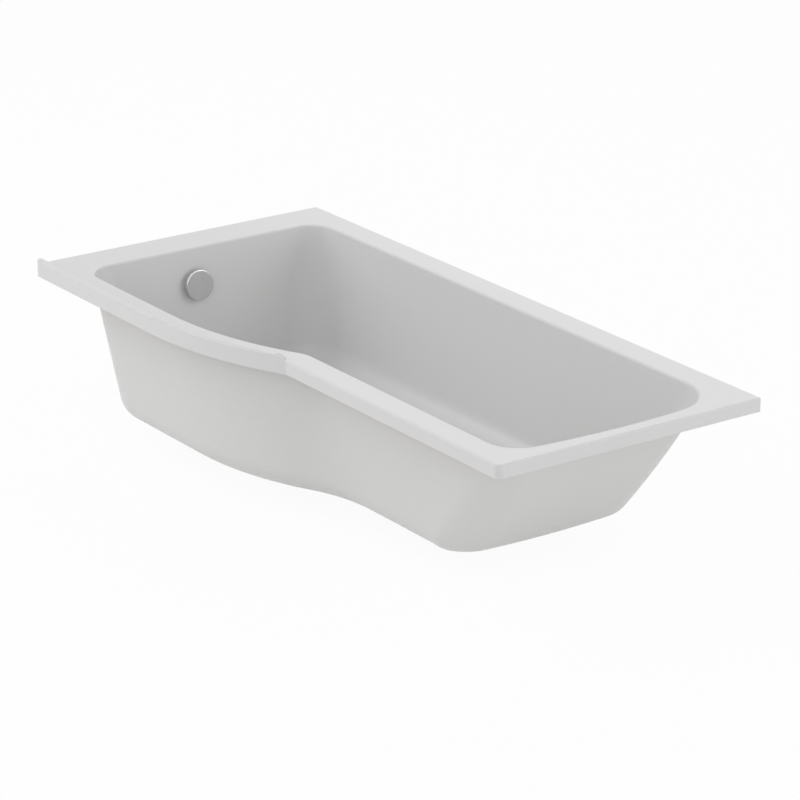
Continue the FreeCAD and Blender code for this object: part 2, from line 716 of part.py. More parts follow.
def make_shell():
    body = new_body("bath_shell")
    add_pad(body, "rim_slab", bath_plan(body, "rim_plan", "rim", "rim_top - rim_drop"), "rim_drop")
    hollow = bath_plan(body, "hollow_plan", "hollow", "rim_top - rim_drop")
    add_pocket(body, "rim_hollow", hollow, "rim_drop - rim_wall", reverse=True)
    tub = body.newObject("PartDesign::AdditiveLoft", "tub_outside")
    tub.Profile = bath_plan(body, "tub_top_plan", "tub_top", "rim_top - rim_wall")
    tub.Sections = [bath_plan(body, "tub_halfway_plan", "tub_halfway", "tub_middle"),
                    bath_plan(body, "tub_floor_plan", "tub_floor", "shell_bottom")]
    basin = body.newObject("PartDesign::SubtractiveLoft", "basin")
    basin.Profile = bath_plan(body, "opening_plan", "opening", "rim_top")
    basin.Sections = [bath_plan(body, "halfway_plan", "halfway", "basin_middle"),
                      bath_plan(body, "floor_plan", "floor", "floor_top")]
    doc.recompute()
    rim_top, floor_top, bottom = value("rim_top"), value("floor_top"), value("shell_bottom")
    round_edges(body, "basin_floor_edge", edge_names(body.Shape, at_height(floor_top)), "floor_edge_radius")
    round_edges(body, "tub_floor_edge", edge_names(body.Shape, at_height(bottom)),
                "floor_edge_radius + shell_wall")
    round_edges(body, "opening_edge", loop_names(body.Shape, rim_top, outer=False), "opening_edge_radius")
    round_edges(body, "rim_edge", loop_names(body.Shape, rim_top, outer=True), "rim_edge_radius")
    add_bead(body)
    drain = [("waste_x", "drain_y")]
    recess = circles(body, "waste_recess_plan", "XY_Plane", drain, "flange_diameter / 2 + flange_room",
                     "floor_top")
    add_pocket(body, "waste_recess", recess, "recess_depth")
    hole = circles(body, "waste_hole_plan", "XY_Plane", drain, "tail_diameter / 2 + flange_room", "floor_top")
    add_pocket(body, "waste_hole", hole, "2 * shell_wall")
    overflow = circles(body, "overflow_hole_plan", "XY_Plane", [("0", "0")], "overflow_hole_diameter / 2")
    overflow.AttachmentOffset = Placement(Vector(0, 0, 0), Rotation(Vector(0, 1, 0), 1.0))
    overflow.setExpression("AttachmentOffset.Rotation.Angle", expr("overflow_turn"))
    for letter, formula in (("x", "overflow_x"), ("y", "drain_y"), ("z", "overflow_z")):
        overflow.setExpression(f"AttachmentOffset.Base.{letter}", expr(formula))
    add_pocket(body, "overflow_hole", overflow, "4 * overflow_wall", symmetric=True)
    return body


# Timber, rails and feet

def foot_place(foot):
    rail, side = FEET[foot]
    return f"{rail}_rail_x", f"{rail}_rail_y {side} {rail}_foot_spacing / 2"


def rail_screw_places(rail):
    """Screw centres of a rail, from the rail's own middle."""
    along = f"({rail}_foot_spacing / 2 + rail_screw_outset)"
    across = "rail_screw_spacing / 2"
    return [(f"{x}{across}", f"{y}{along}") for x in ("", "-") for y in ("", "-")]


def make_board():
    body = new_body("base_board")
    add_pad(body, "board", bath_plan(body, "board_plan", "board", "rail_top"), "board_thickness")
    studs = circles(body, "stud_holes_plan", "XY_Plane", [foot_place(foot) for foot in FEET],
                    "stud_diameter / 2 + stud_hole_room", "rail_top")
    add_pocket(body, "stud_holes", studs, "board_thickness", reverse=True)
    places = [(f"{rail}_rail_x + ({x})", f"{rail}_rail_y + ({y})")
              for rail in RAILS for x, y in rail_screw_places(rail)]
    pilots = circles(body, "pilot_holes_plan", "XY_Plane", places,
                     "rail_screw_diameter / 2 + running_clearance", "rail_top")
    add_pocket(body, "pilot_holes", pilots, "rail_screw_bite + pilot_room", reverse=True)
    return body


def make_battens():
    height = ("rim_top - rim_wall - batten_height", "rim_top - rim_wall")
    left, right = "rim_left + rim_wall", "rim_right - rim_wall"
    back, wide, narrow = "rim_back - rim_wall", "rim_wide + rim_wall", "rim_narrow + rim_wall"
    long_left, long_right = f"{left} + batten_width + batten_gap", f"{right} - batten_width - batten_gap"
    spans = {
        "back": ((long_left, long_right), (f"{back} - batten_width", back)),
        "tap_end": ((left, f"{left} + batten_width"), (f"{wide} + batten_gap", f"{back} - batten_gap")),
        "backrest_end": ((f"{right} - batten_width", right),
                         (f"{narrow} + batten_gap", f"{back} - batten_gap")),
        "narrow_front": (("kink_end + batten_gap", long_right), (narrow, f"{narrow} + batten_width")),
        "wide_front": ((long_left, "rim_bulge_start"), (wide, f"{wide} + batten_width")),
    }
    return [block(f"rim_batten_{side}", x, y, height) for side, (x, y) in spans.items()]


def make_rail(rail):
    """Steel channel, open downwards, with holes for the studs and the screws in its web."""
    body = new_body(f"leg_rail_{rail}_end")
    half, inner = "rail_width / 2", "(rail_width / 2 - rail_gauge)"
    section = [(f"-{half}", "-rail_height"), (f"-{inner}", "-rail_height"), (f"-{inner}", "-rail_gauge"),
               (inner, "-rail_gauge"), (inner, "-rail_height"), (half, "-rail_height"), (half, "0"),
               (f"-{half}", "0")]
    add_pad(body, f"{rail}_channel", polygon(body, f"{rail}_section", "XZ_Plane", section),
            f"2 * {rail}_rail_half", symmetric=True)
    studs = [("0", f"{side}{rail}_foot_spacing / 2") for side in ("", "-")]
    for name, centres, radius in (
        ("stud_holes", studs, "stud_diameter / 2 + running_clearance"),
        ("screw_holes", rail_screw_places(rail), "rail_screw_diameter / 2 + loose_clearance"),
    ):
        sketch = circles(body, f"{rail}_{name}_plan", "XY_Plane", centres, radius)
        add_pocket(body, f"{rail}_{name}", sketch, "2 * rail_gauge", symmetric=True)
    return place(body, f"{rail}_rail_x", f"{rail}_rail_y", "rail_top")


def make_rail_screws():
    screws = []
    seat = "rail_top - rail_gauge"
    for rail in RAILS:
        for number, (x, y) in enumerate(rail_screw_places(rail), start=1):
            spot = (f"{rail}_rail_x + ({x})", f"{rail}_rail_y + ({y})")
            name = f"{rail}_screw_{number}"
            head = rod(f"{name}_head", "rail_screw_head_diameter / 2", f"{seat} - rail_screw_head_height",
                       seat, *spot)
            shank = rod(f"{name}_shank", "rail_screw_diameter / 2", seat, "rail_top + rail_screw_bite", *spot)
            screws.append(fused(name, [head, shank]))
    return grouped("rail_screws", screws)


def make_lock_nuts():
    nuts = []
    for foot in FEET:
        spot = foot_place(foot)
        body = hexagon(f"{foot}_nut_body", "nut_flats", "nut_bottom", "nut_bottom + nut_height", *spot)
        bore = rod(f"{foot}_nut_bore", "stud_diameter / 2 + running_clearance", "nut_bottom",
                   "nut_bottom + nut_height", *spot)
        nuts.append(cut(f"{foot}_nut", body, bore))
    return grouped("foot_lock_nuts", nuts)


def make_stud(foot):
    """Threaded stud with a hexagon collar, and a plain end that stands in the pad."""
    spot = foot_place(foot)
    collar = hexagon(f"{foot}_collar", "nut_flats", "collar_bottom", "collar_bottom + collar_height", *spot)
    shank = rod(f"{foot}_shank", "stud_diameter / 2", "collar_bottom - stud_spigot", "stud_top", *spot)
    return fused(f"foot_stud_{foot}", [collar, shank])


def make_pad(foot):
    base, top, bore = "pad_diameter / 2", "pad_top_diameter / 2", "stud_diameter / 2 + running_clearance"
    socket = "pad_height - stud_spigot - spigot_room"
    body = turned(f"foot_pad_{foot}", [
        ("0", "0"), (f"{base} - pad_edge", "0"), (base, "pad_edge"), (base, "pad_base_height"),
        (top, "pad_height - pad_edge"), (f"{top} - pad_edge", "pad_height"), (bore, "pad_height"),
        (bore, socket), ("0", socket),
    ])
    return place(body, *foot_place(foot))


# Waste and pop-up plug, drawn from the basin floor's surface down and set at the drain

def at_drain(item):
    return place(item, "waste_x", "drain_y", "floor_top")


def make_waste_flange():
    body = turned("waste_flange", [
        ("tail_bore", "0"), ("flange_diameter / 2", "0"), ("flange_diameter / 2", "-flange_lip"),
        ("tail_diameter / 2", "-flange_lip"), ("tail_diameter / 2", "tail_bottom"),
        ("tail_bore", "tail_bottom"),
    ])
    reach, rib = "(tail_bore + tail_wall / 2)", "spider_rib / 2"
    for name, across, up in (("spider_x", reach, rib), ("spider_y", rib, reach)):
        corners = [(f"-{across}", f"-{up}"), (across, f"-{up}"), (across, up), (f"-{across}", up)]
        arm = polygon(body, f"{name}_plan", "XY_Plane", corners, "tail_bottom")
        add_pad(body, name, arm, "spider_height")
    hub = circles(body, "spider_hub_plan", "XY_Plane", [("0", "0")], "spider_hub_diameter / 2", "tail_bottom")
    add_pad(body, "spider_hub", hub, "spider_height")
    guide = circles(body, "stem_guide_plan", "XY_Plane", [("0", "0")],
                    "stem_diameter / 2 + running_clearance", "tail_bottom")
    add_pocket(body, "stem_guide", guide, "spider_height", reverse=True)
    return at_drain(body)


def make_waste_seals():
    upper = turned("waste_flange_seal", ring_profile(
        "tail_diameter / 2 + loose_clearance", "flange_diameter / 2", "-recess_depth", "-flange_lip"))
    lower = turned("waste_body_seal", ring_profile(
        "tail_diameter / 2 + flange_room", "waste_rim_diameter / 2", "waste_body_top", "-shell_wall"))
    return [at_drain(upper), at_drain(lower)]


def add_tube(body, name, role, level, radius, reach, reverse):
    """Round branch from the body's axis, on a sketch plane that the branch stands square to."""
    sketch = circles(body, f"{name}_plan", role, [("0", level)], radius)
    return add_pad(body, name, sketch, reach, reverse=reverse)


def bore_tube(body, name, role, level, radius, inner, reach, reverse):
    """Bore along a branch, from a distance off the axis out to its mouth."""
    sketch = circles(body, f"{name}_plan", role, [("0", level)], radius, f"{'-' if reverse else ''}({inner})")
    return add_pocket(body, name, sketch, f"({reach}) - ({inner})", reverse=not reverse)


def make_waste_body():
    """Moulded outlet body: outlet to the back, overflow socket to the tap end, cable gland to the front."""
    outside = "waste_body_diameter / 2"
    body = turned("waste_body", [
        ("0", "waste_body_bottom"), (outside, "waste_body_bottom"),
        (outside, "waste_body_top - waste_rim_thickness"),
        ("waste_rim_diameter / 2", "waste_body_top - waste_rim_thickness"),
        ("waste_rim_diameter / 2", "waste_body_top"), ("0", "waste_body_top"),
    ])
    add_tube(body, "outlet", "XZ_Plane", "outlet_level", "outlet_diameter / 2", "outlet_reach", reverse=True)
    add_tube(body, "outlet_root", "XZ_Plane", "outlet_level", "outlet_shoulder_diameter / 2",
             "outlet_shoulder_reach", reverse=True)
    add_tube(body, "socket", "YZ_Plane", "outlet_level", "socket_radius", "socket_reach", reverse=True)
    add_tube(body, "gland", "XZ_Plane", "-gland_depth", "gland_diameter / 2", "gland_reach", reverse=False)
    for name, radius, height, depth in (
        ("tail_bore", "waste_bore", "waste_body_top", "waste_body_top - waste_cavity_bottom"),
        ("cavity", "waste_cavity", "waste_cavity_top", "waste_cavity_top - waste_cavity_bottom"),
    ):
        sketch = circles(body, f"waste_{name}_plan", "XY_Plane", [("0", "0")], radius, height)
        add_pocket(body, f"waste_{name}", sketch, depth)
    bore_tube(body, "outlet_bore", "XZ_Plane", "outlet_level", "outlet_diameter / 2 - outlet_wall",
              "waste_bore", "outlet_reach", reverse=True)
    bore_tube(body, "pipe_bore", "YZ_Plane", "outlet_level", "socket_bore", "socket_floor", "socket_reach",
              reverse=True)
    bore_tube(body, "pipe_way", "YZ_Plane", "outlet_level", "pipe_diameter / 2 - pipe_wall", "waste_bore",
              "socket_reach", reverse=True)
    bore_tube(body, "cable_bore", "XZ_Plane", "-gland_depth", "cable_diameter / 2 + running_clearance",
              "cable_end_y", "gland_reach", reverse=False)
    return at_drain(body)


def make_plug():
    boss, stem = "plug_boss_diameter / 2", "stem_diameter / 2"
    socket = f"{stem} + running_clearance"
    under = "plug_seal_thickness"
    body = turned("waste_plug", [
        ("0", f"{under} + plug_thickness"), ("plug_diameter / 2", f"{under} + plug_thickness"),
        ("plug_diameter / 2", under), (boss, under), (boss, f"{under} - plug_boss_height"),
        (socket, f"{under} - plug_boss_height"), (socket, under), ("0", under),
    ])
    doc.recompute()
    crown = value("plug_seal_thickness") + value("plug_thickness")
    round_edges(body, "plug_edge", edge_names(body.Shape, at_height(crown)), "plug_edge_radius")
    seal = turned("plug_seal", ring_profile("plug_seal_inner / 2", "plug_seal_inner / 2 + plug_seal_width",
                                            "0", under))
    shaft = turned("plug_stem", [("0", under), (stem, under), (stem, "-stem_reach"), ("0", "-stem_reach")])
    lifter_top = "lifter_grip - stem_reach"
    lifter = turned("plug_lifter", [
        ("0", f"{lifter_top} - lifter_height"), ("lifter_diameter / 2", f"{lifter_top} - lifter_height"),
        ("lifter_diameter / 2", lifter_top), (socket, lifter_top), (socket, "-stem_reach"),
        ("0", "-stem_reach"),
    ])
    return [at_drain(piece) for piece in (body, seal, shaft, lifter)]


# Overflow, drawn with +Z into the basin, +X down the wall and the wall's face at zero

def at_overflow(item):
    return place(item, "overflow_x", "drain_y", "overflow_z", Vector(0, 1, 0), "overflow_turn")


def make_casing():
    """Cup behind the wall: pipe socket downwards, cable gland to the front, pillars for the screws."""
    outside, flange = "casing_diameter / 2", "casing_flange_diameter / 2"
    neck = "casing_front - casing_flange_thickness"
    body = turned("overflow_body", [
        ("0", "casing_back"), (outside, "casing_back"), (outside, neck), (flange, neck),
        (flange, "casing_front"), ("0", "casing_front"),
    ])
    add_tube(body, "casing_socket", "YZ_Plane", "-casing_pipe_depth", "socket_radius", "socket_reach",
             reverse=False)
    add_tube(body, "casing_gland", "XZ_Plane", "-gland_depth", "gland_diameter / 2", "gland_reach",
             reverse=False)
    cup = circles(body, "cup_plan", "XY_Plane", [("0", "0")], "casing_bore", "casing_front")
    add_pocket(body, "cup", cup, "casing_front - casing_floor")
    bore_tube(body, "casing_pipe_bore", "YZ_Plane", "-casing_pipe_depth", "socket_bore", "socket_floor",
              "socket_reach", reverse=False)
    bore_tube(body, "casing_pipe_way", "YZ_Plane", "-casing_pipe_depth", "pipe_diameter / 2 - pipe_wall",
              "casing_bore / 2", "socket_reach", reverse=False)
    bore_tube(body, "casing_cable_bore", "XZ_Plane", "-gland_depth", "cable_diameter / 2 + running_clearance",
              "cable_end_y", "gland_reach", reverse=False)
    spots = [("0", f"{side}clamp_screw_circle / 2") for side in ("", "-")]
    pillars = circles(body, "pillars_plan", "XY_Plane", spots, "pillar_diameter / 2", "casing_front")
    add_pad(body, "pillars", pillars, "pillar_length", reverse=True)
    pilots = circles(body, "pillar_holes_plan", "XY_Plane", spots,
                     "clamp_screw_diameter / 2 + running_clearance", "casing_front")
    add_pocket(body, "pillar_holes", pilots, "pillar_length")
    boss = circles(body, "pivot_boss_plan", "XY_Plane", [("0", "0")], "pivot_boss_diameter / 2",
                   "casing_floor")
    add_pad(body, "pivot_boss", boss, "pivot_boss_height")
    pivot = circles(body, "pivot_plan", "XY_Plane", [("0", "0")],
                    "spindle_pivot_diameter / 2 + running_clearance", "pivot_boss_top")
    add_pocket(body, "pivot", pivot, "pivot_boss_height")
    return at_overflow(body)


def make_clamp_plate():
    body = turned("overflow_clamp_plate", ring_profile(
        "spindle_diameter / 2 + running_clearance", "plate_diameter / 2", "0", "plate_thickness"))
    spots = [("0", f"{side}clamp_screw_circle / 2") for side in ("", "-")]
    screws = circles(body, "plate_screw_holes_plan", "XY_Plane", spots,
                     "clamp_screw_diameter / 2 + loose_clearance")
    add_pocket(body, "plate_screw_holes", screws, "plate_thickness", reverse=True)
    water = circles(body, "plate_water_hole_plan", "XY_Plane", [("plate_water_circle / 2", "0")],
                    "plate_water_hole / 2")
    first = add_pocket(body, "plate_water_hole", water, "plate_thickness", reverse=True)
    pattern = body.newObject("PartDesign::PolarPattern", "plate_water_holes")
    pattern.Originals = [first]
    pattern.Axis = (water, ["N_Axis"])
    pattern.Angle = 360
    pattern.setExpression("Occurrences", expr("plate_water_holes"))
    body.Tip = pattern
    return at_overflow(body)


def make_clamp_screws():
    screws = []
    under = "plate_thickness"
    for number, side in enumerate(("", "-"), start=1):
        spot = ("0", f"{side}clamp_screw_circle / 2")
        head = rod(f"clamp_screw_{number}_head", "clamp_screw_head_diameter / 2", under,
                   f"{under} + clamp_screw_head_height", *spot)
        shank = rod(f"clamp_screw_{number}_shank", "clamp_screw_diameter / 2",
                    f"{under} - clamp_screw_length", under, *spot)
        screws.append(fused(f"clamp_screw_{number}", [head, shank]))
    return at_overflow(grouped("overflow_clamp_screws", screws))


def make_knob():
    hub, tip = "knob_hub_diameter / 2", "spindle_tip_diameter / 2 + running_clearance"
    rim, inside = "knob_diameter / 2", "knob_diameter / 2 - knob_wall"
    body = turned("overflow_knob", [
        ("0", "knob_front"), (rim, "knob_front"), (rim, "knob_stand_off"), (inside, "knob_stand_off"),
        (inside, "knob_inside"), (hub, "knob_inside"), (hub, "knob_stand_off"), (tip, "knob_stand_off"),
        (tip, "knob_inside"), ("0", "knob_inside"),
    ])
    doc.recompute()
    face = edge_names(body.Shape, at_height(value("knob_front")))
    round_edges(body, "knob_edge", face, "knob_edge_radius")
    hole = circles(body, "grub_hole_plan", "YZ_Plane", [("0", "grub_level")],
                   "grub_diameter / 2 + running_clearance")
    add_pocket(body, "grub_hole", hole, "knob_diameter / 2 + knob_wall", reverse=True)
    grub = doc.addObject("Part::Cylinder", "grub_rod")
    grub.setExpression("Radius", expr("grub_diameter / 2"))
    grub.setExpression("Height", expr("grub_length"))
    place(grub, "spindle_tip_diameter / 2 + seat_gap", "0", "grub_level", Vector(0, 1, 0), "90 deg")
    return [at_overflow(body), at_overflow(grouped("knob_grub_screw", [grub]))]


def make_spindle():
    shaft, tip, pivot = "spindle_diameter / 2", "spindle_tip_diameter / 2", "spindle_pivot_diameter / 2"
    drum = "drum_diameter / 2"
    tip_end = "knob_inside - seat_gap"
    body = turned("knob_spindle", [
        ("0", "spindle_back - spindle_pivot_length"), (pivot, "spindle_back - spindle_pivot_length"),
        (pivot, "spindle_back"), (shaft, "spindle_back"), (shaft, "drum_low"), (drum, "drum_low"),
        (drum, "drum_high"), (shaft, "drum_high"), (shaft, "spindle_front"), (tip, "spindle_front"),
        (tip, tip_end), ("0", tip_end),
    ])
    return at_overflow(body)


def make_overflow_seal():
    return at_overflow(turned("overflow_wall_seal", ring_profile(
        "overflow_hole_diameter / 2", "overflow_seal_diameter / 2", "casing_front", "-overflow_wall")))


# Overflow pipe and cable

def make_pipe():
    """Pipe drawn with its top end at the origin, pointing up the wall."""
    body = new_body("overflow_pipe")
    section = circles(body, "pipe_section", "XY_Plane", [("0", "0")], "pipe_diameter / 2")
    path = new_sketch(body, "pipe_path", "XZ_Plane")
    fall, run, bend = value("pipe_fall"), value("pipe_run"), value("pipe_bend_radius")
    turn = value("overflow_turn")
    level = Vector(math.sin(math.radians(turn)), -math.cos(math.radians(turn)), 0)
    bend_arc = arc(Vector(bend, -fall, 0), bend, 180, 180 + turn)
    path.addGeometry([
        Part.LineSegment(Vector(0, 0, 0), Vector(0, -fall, 0)),
        bend_arc,
        Part.LineSegment(bend_arc.EndPoint, bend_arc.EndPoint + level * run),
    ], False)
    path.addConstraint(Sketcher.Constraint("Coincident", 0, 1, -1, 1))
    path.addConstraint(Sketcher.Constraint("Vertical", 0))
    path.addConstraint(Sketcher.Constraint("Tangent", 0, 2, 1, 1))
    path.addConstraint(Sketcher.Constraint("Tangent", 1, 2, 2, 1))
    hold(path, "Distance", 0, size="pipe_fall")
    hold(path, "Radius", 1, size="pipe_bend_radius")
    hold(path, "Distance", 2, size="pipe_run")
    angle = path.addConstraint(Sketcher.Constraint("Angle", 0, 1, 2, 1, math.radians(turn)))
    path.setExpression(f"Constraints[{angle}]", expr("overflow_turn"))
    outside = body.newObject("PartDesign::AdditivePipe", "pipe_outside")
    outside.Profile = section
    outside.Spine = path
    bore = circles(body, "pipe_bore_section", "XY_Plane", [("0", "0")], "pipe_diameter / 2 - pipe_wall")
    inside = body.newObject("PartDesign::SubtractivePipe", "pipe_inside")
    inside.Profile = bore
    inside.Spine = path
    return place(body, "pipe_top_x", "drain_y", "pipe_top_z", Vector(0, 1, 0), "overflow_turn - 90 deg")


def make_pipe_fittings():
    """Nut and seal at each end, drawn with the socket's mouth at zero and the pipe leaving along +Z."""
    nuts, seals = [], []
    for end in ("top", "bottom"):
        blank = hexagon(f"pipe_nut_{end}_blank", "pipe_nut_flats", "-pipe_nut_skirt",
                        "pipe_seal_thickness + pipe_nut_lip")
        thread = rod(f"pipe_nut_{end}_thread", "pipe_nut_bore", "-pipe_nut_skirt", "pipe_seal_thickness")
        way = rod(f"pipe_nut_{end}_way", "socket_bore", "0", "pipe_seal_thickness + pipe_nut_lip")
        nut = cut(f"overflow_pipe_nut_{end}", blank, fused(f"pipe_nut_{end}_bore", [thread, way]))
        outer = rod(f"pipe_seal_{end}_outer", "socket_radius", "0", "pipe_seal_thickness")
        inner = rod(f"pipe_seal_{end}_inner", "socket_bore", "0", "pipe_seal_thickness")
        seal = cut(f"pipe_seal_{end}", outer, inner)
        for piece in (nut, seal):
            if end == "top":
                place(piece, "pipe_mouth_x", "drain_y", "pipe_mouth_z", Vector(0, 1, 0),
                      "overflow_turn + 90 deg")
            else:
                place(piece, "waste_x - socket_reach", "drain_y", "pipe_level", Vector(0, 1, 0), "-90 deg")
        nuts.append(nut)
        seals.append(seal)
    return nuts + [grouped("overflow_pipe_seals", seals)]


def make_cable():
    """Cable from the casing's gland: forward, down, along under the floor and back to the waste's gland."""
    bend, lead, start = value("cable_bend_radius"), value("cable_lead"), value("cable_end_y")
    top = Vector(value("cable_top_x"), value("drain_y") - start, value("cable_top_z"))
    end = Vector(value("waste_x"), value("drain_y") - start, value("floor_top") - value("gland_depth"))
    front = top.y - lead - bend
    turns = [Vector(top.x, front, top.z), Vector(top.x, front, end.z), Vector(end.x, front, end.z)]
    corners = [top, *turns, end]
    edges, last = [], top
    for before, corner, after in zip(corners, corners[1:], corners[2:]):
        come = (corner - before).normalize()
        leave = (after - corner).normalize()
        bend_start, bend_end = corner - come * bend, corner + leave * bend
        middle = corner + (leave - come) * bend * (1 - math.sqrt(0.5))
        edges += [Part.makeLine(last, bend_start), Part.Arc(bend_start, middle, bend_end).toShape()]
        last = bend_end
    path = Part.Wire(edges + [Part.makeLine(last, end)])
    radius = value("cable_diameter") / 2
    section = Part.Wire(Part.makeCircle(radius, top, Vector(0, -1, 0)))
    tube = path.makePipeShell([section], True, False)
    expected = math.pi * radius ** 2 * path.Length
    print(f"cable: length {path.Length:.0f} mm, volume {tube.Volume:.0f} of {expected:.0f} mm3")
    cable = doc.addObject("Part::Feature", "control_cable")
    cable.Shape = tube
    return cable


def main():
    nodes = [make_shell(), make_board(), *make_battens()]
    nodes += [make_rail(rail) for rail in RAILS]
    nodes += [make_rail_screws(), make_lock_nuts()]
    for foot in FEET:
        nodes += [make_stud(foot), make_pad(foot)]
    nodes += [make_waste_flange(), *make_waste_seals(), make_waste_body(), *make_plug()]
    nodes += [make_casing(), make_overflow_seal(), make_clamp_plate(), make_clamp_screws()]
    nodes += [*make_knob(), make_spindle(), make_pipe(), *make_pipe_fittings(), make_cable()]
    doc.recompute()
    failed = [item.Name for item in doc.Objects if {"Invalid", "Error"} & set(item.State)]
    failed += [node.Label for node in nodes if node.Shape.isNull() or not node.Shape.isValid()]
    if failed:
        raise RuntimeError(f"not built: {failed}")
    os.makedirs("parts", exist_ok=True)
    for node in nodes:
        node.Shape.exportStep(f"parts/{node.Label}.step")
        print(f"{node.Label}: {len(node.Shape.Solids)} solid(s), {node.Shape.Volume / 1000:.1f} cm3")


main()
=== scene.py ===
"""Looks of the P-shaped shower bath: finishes, small turned pieces, stage, light and camera.

Frame: metres, +Z up, origin on the floor under the middle of the rim. +X runs from the tap end to the
backrest end, +Y to the wall behind the bath, and the bulged front faces -Y.
"""
import json
import math

import bmesh
import bpy
from mathutils import Matrix, Vector

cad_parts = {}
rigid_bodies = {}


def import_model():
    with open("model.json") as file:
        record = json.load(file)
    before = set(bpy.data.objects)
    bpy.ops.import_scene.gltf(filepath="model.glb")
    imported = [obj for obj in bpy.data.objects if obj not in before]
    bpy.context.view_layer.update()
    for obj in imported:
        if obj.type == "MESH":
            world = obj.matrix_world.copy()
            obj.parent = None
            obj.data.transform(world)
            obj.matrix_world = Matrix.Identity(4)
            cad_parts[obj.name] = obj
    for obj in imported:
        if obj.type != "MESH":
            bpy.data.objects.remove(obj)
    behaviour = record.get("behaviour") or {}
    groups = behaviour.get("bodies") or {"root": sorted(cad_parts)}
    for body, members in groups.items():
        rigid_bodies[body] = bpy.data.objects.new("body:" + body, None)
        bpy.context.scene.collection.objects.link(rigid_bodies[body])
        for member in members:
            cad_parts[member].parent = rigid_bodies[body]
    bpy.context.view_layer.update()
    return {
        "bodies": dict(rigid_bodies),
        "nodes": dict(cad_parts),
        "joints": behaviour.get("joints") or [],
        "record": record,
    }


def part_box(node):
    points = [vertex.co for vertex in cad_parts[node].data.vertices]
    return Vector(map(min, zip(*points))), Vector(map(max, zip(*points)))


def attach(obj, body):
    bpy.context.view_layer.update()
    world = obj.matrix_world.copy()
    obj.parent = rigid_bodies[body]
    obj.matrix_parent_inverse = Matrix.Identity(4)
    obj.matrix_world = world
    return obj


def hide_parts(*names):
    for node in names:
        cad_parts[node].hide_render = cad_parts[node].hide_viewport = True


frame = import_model()
scene = bpy.context.scene
nodes = frame["nodes"]
slot_of = {part["node"]: part["material_slot"] for part in frame["record"]["subparts"]}

# Camera, as the photograph was taken
CAMERA_PLACE = Vector((6.2577, -4.3535, 3.012))
CAMERA_AZIMUTH = math.radians(54.828)
CAMERA_ELEVATION = math.radians(20.11)
CAMERA_SENSOR = 36.0
CAMERA_LENS = 161.02
CAMERA_FAR = 1000.0

# Light: level of the white surroundings, and softboxes as compass angle from +X, elevation, size and power
AMBIENT = 0.46
SOFTBOX_REACH = 6.0
SOFTBOX_TARGET = Vector((0.0, 0.0, 0.3))
SOFTBOXES = {
    "key_softbox": (225.0, 52.0, 3.0, 72.0),
    "low_key_softbox": (225.0, 22.0, 3.0, 48.0),
    "rear_softbox": (45.0, 22.0, 4.4, 88.0),
    "front_softbox": (315.0, 22.0, 4.4, 50.0),
    "corner_softbox": (135.0, 30.0, 3.0, 22.0),
}

# Floor: its colour under the lamps, and how much of its white shows whatever the lamps do
FLOOR_SIZE = 400.0
FLOOR_COLOUR = (0.95, 0.95, 0.95, 1.0)
FLOOR_GLOW = 0.95
WHITE = (1.0, 1.0, 1.0, 1.0)

# Colour sockets of the Mix node, by number because its sockets share their names
MIX_FIRST = 6
MIX_SECOND = 7
MIX_RESULT = 2

# Shell backing: it shows on faces below the apron that look away from a point in the middle of the shell,
# and where the normal points down, from a start to an end of its Z. The widths are of the change to it.
SHELL_MIDDLE = (0.0, 0.05, 0.0)
APRON_BOTTOM = 0.365
APRON_WIDTH = 0.002
OUTWARD_WIDTH = 0.02
DOWNWARD_START = -0.25
DOWNWARD_END = -0.40
BACKING_ROUGHNESS = 0.10
FIBRE_RELIEF = 4.0

# Moulded plastics and rubber: darkest and lightest colour, smoothest and roughest grain, and its depth
MOULDED = {
    "black_plastic": {
        "dark": (0.030, 0.030, 0.032), "light": (0.055, 0.055, 0.058),
        "smooth": 0.42, "rough": 0.60, "depth": 0.00006,
    },
    "white_plastic": {
        "dark": (0.70, 0.70, 0.685), "light": (0.76, 0.76, 0.745),
        "smooth": 0.32, "rough": 0.46, "depth": 0.00003,
    },
    "grey_plastic": {
        "dark": (0.30, 0.31, 0.32), "light": (0.40, 0.41, 0.42),
        "smooth": 0.36, "rough": 0.50, "depth": 0.00004,
    },
    "black_rubber": {
        "dark": (0.018, 0.018, 0.019), "light": (0.036, 0.036, 0.038),
        "smooth": 0.62, "rough": 0.82, "depth": 0.00008,
    },
}

# Eased edges of carried-over nodes
BATTEN_EDGE = 0.0015
RAIL_EDGE = 0.0008
EDGE_SEGMENTS = 2

# Turned and hexagonal pieces
TURN_STEPS = 48
SHARP_ANGLE = math.radians(32.0)
HEXAGON_CHAMFER = math.radians(30.0)
CHAMFER_CIRCLE = 0.95

# Studs: the crest and the flank of the thread are shares of half its pitch
STUD_RADIUS = 0.005
STUD_FLATS = 0.017
STUD_CHAMFER = 0.0012
COLLAR_HEIGHT = 0.007
THREAD_PITCH = 0.0015
THREAD_DEPTH = 0.0009
THREAD_CREST = 0.12
THREAD_FLANK = 0.70
THREAD_ROWS_PER_TURN = 6

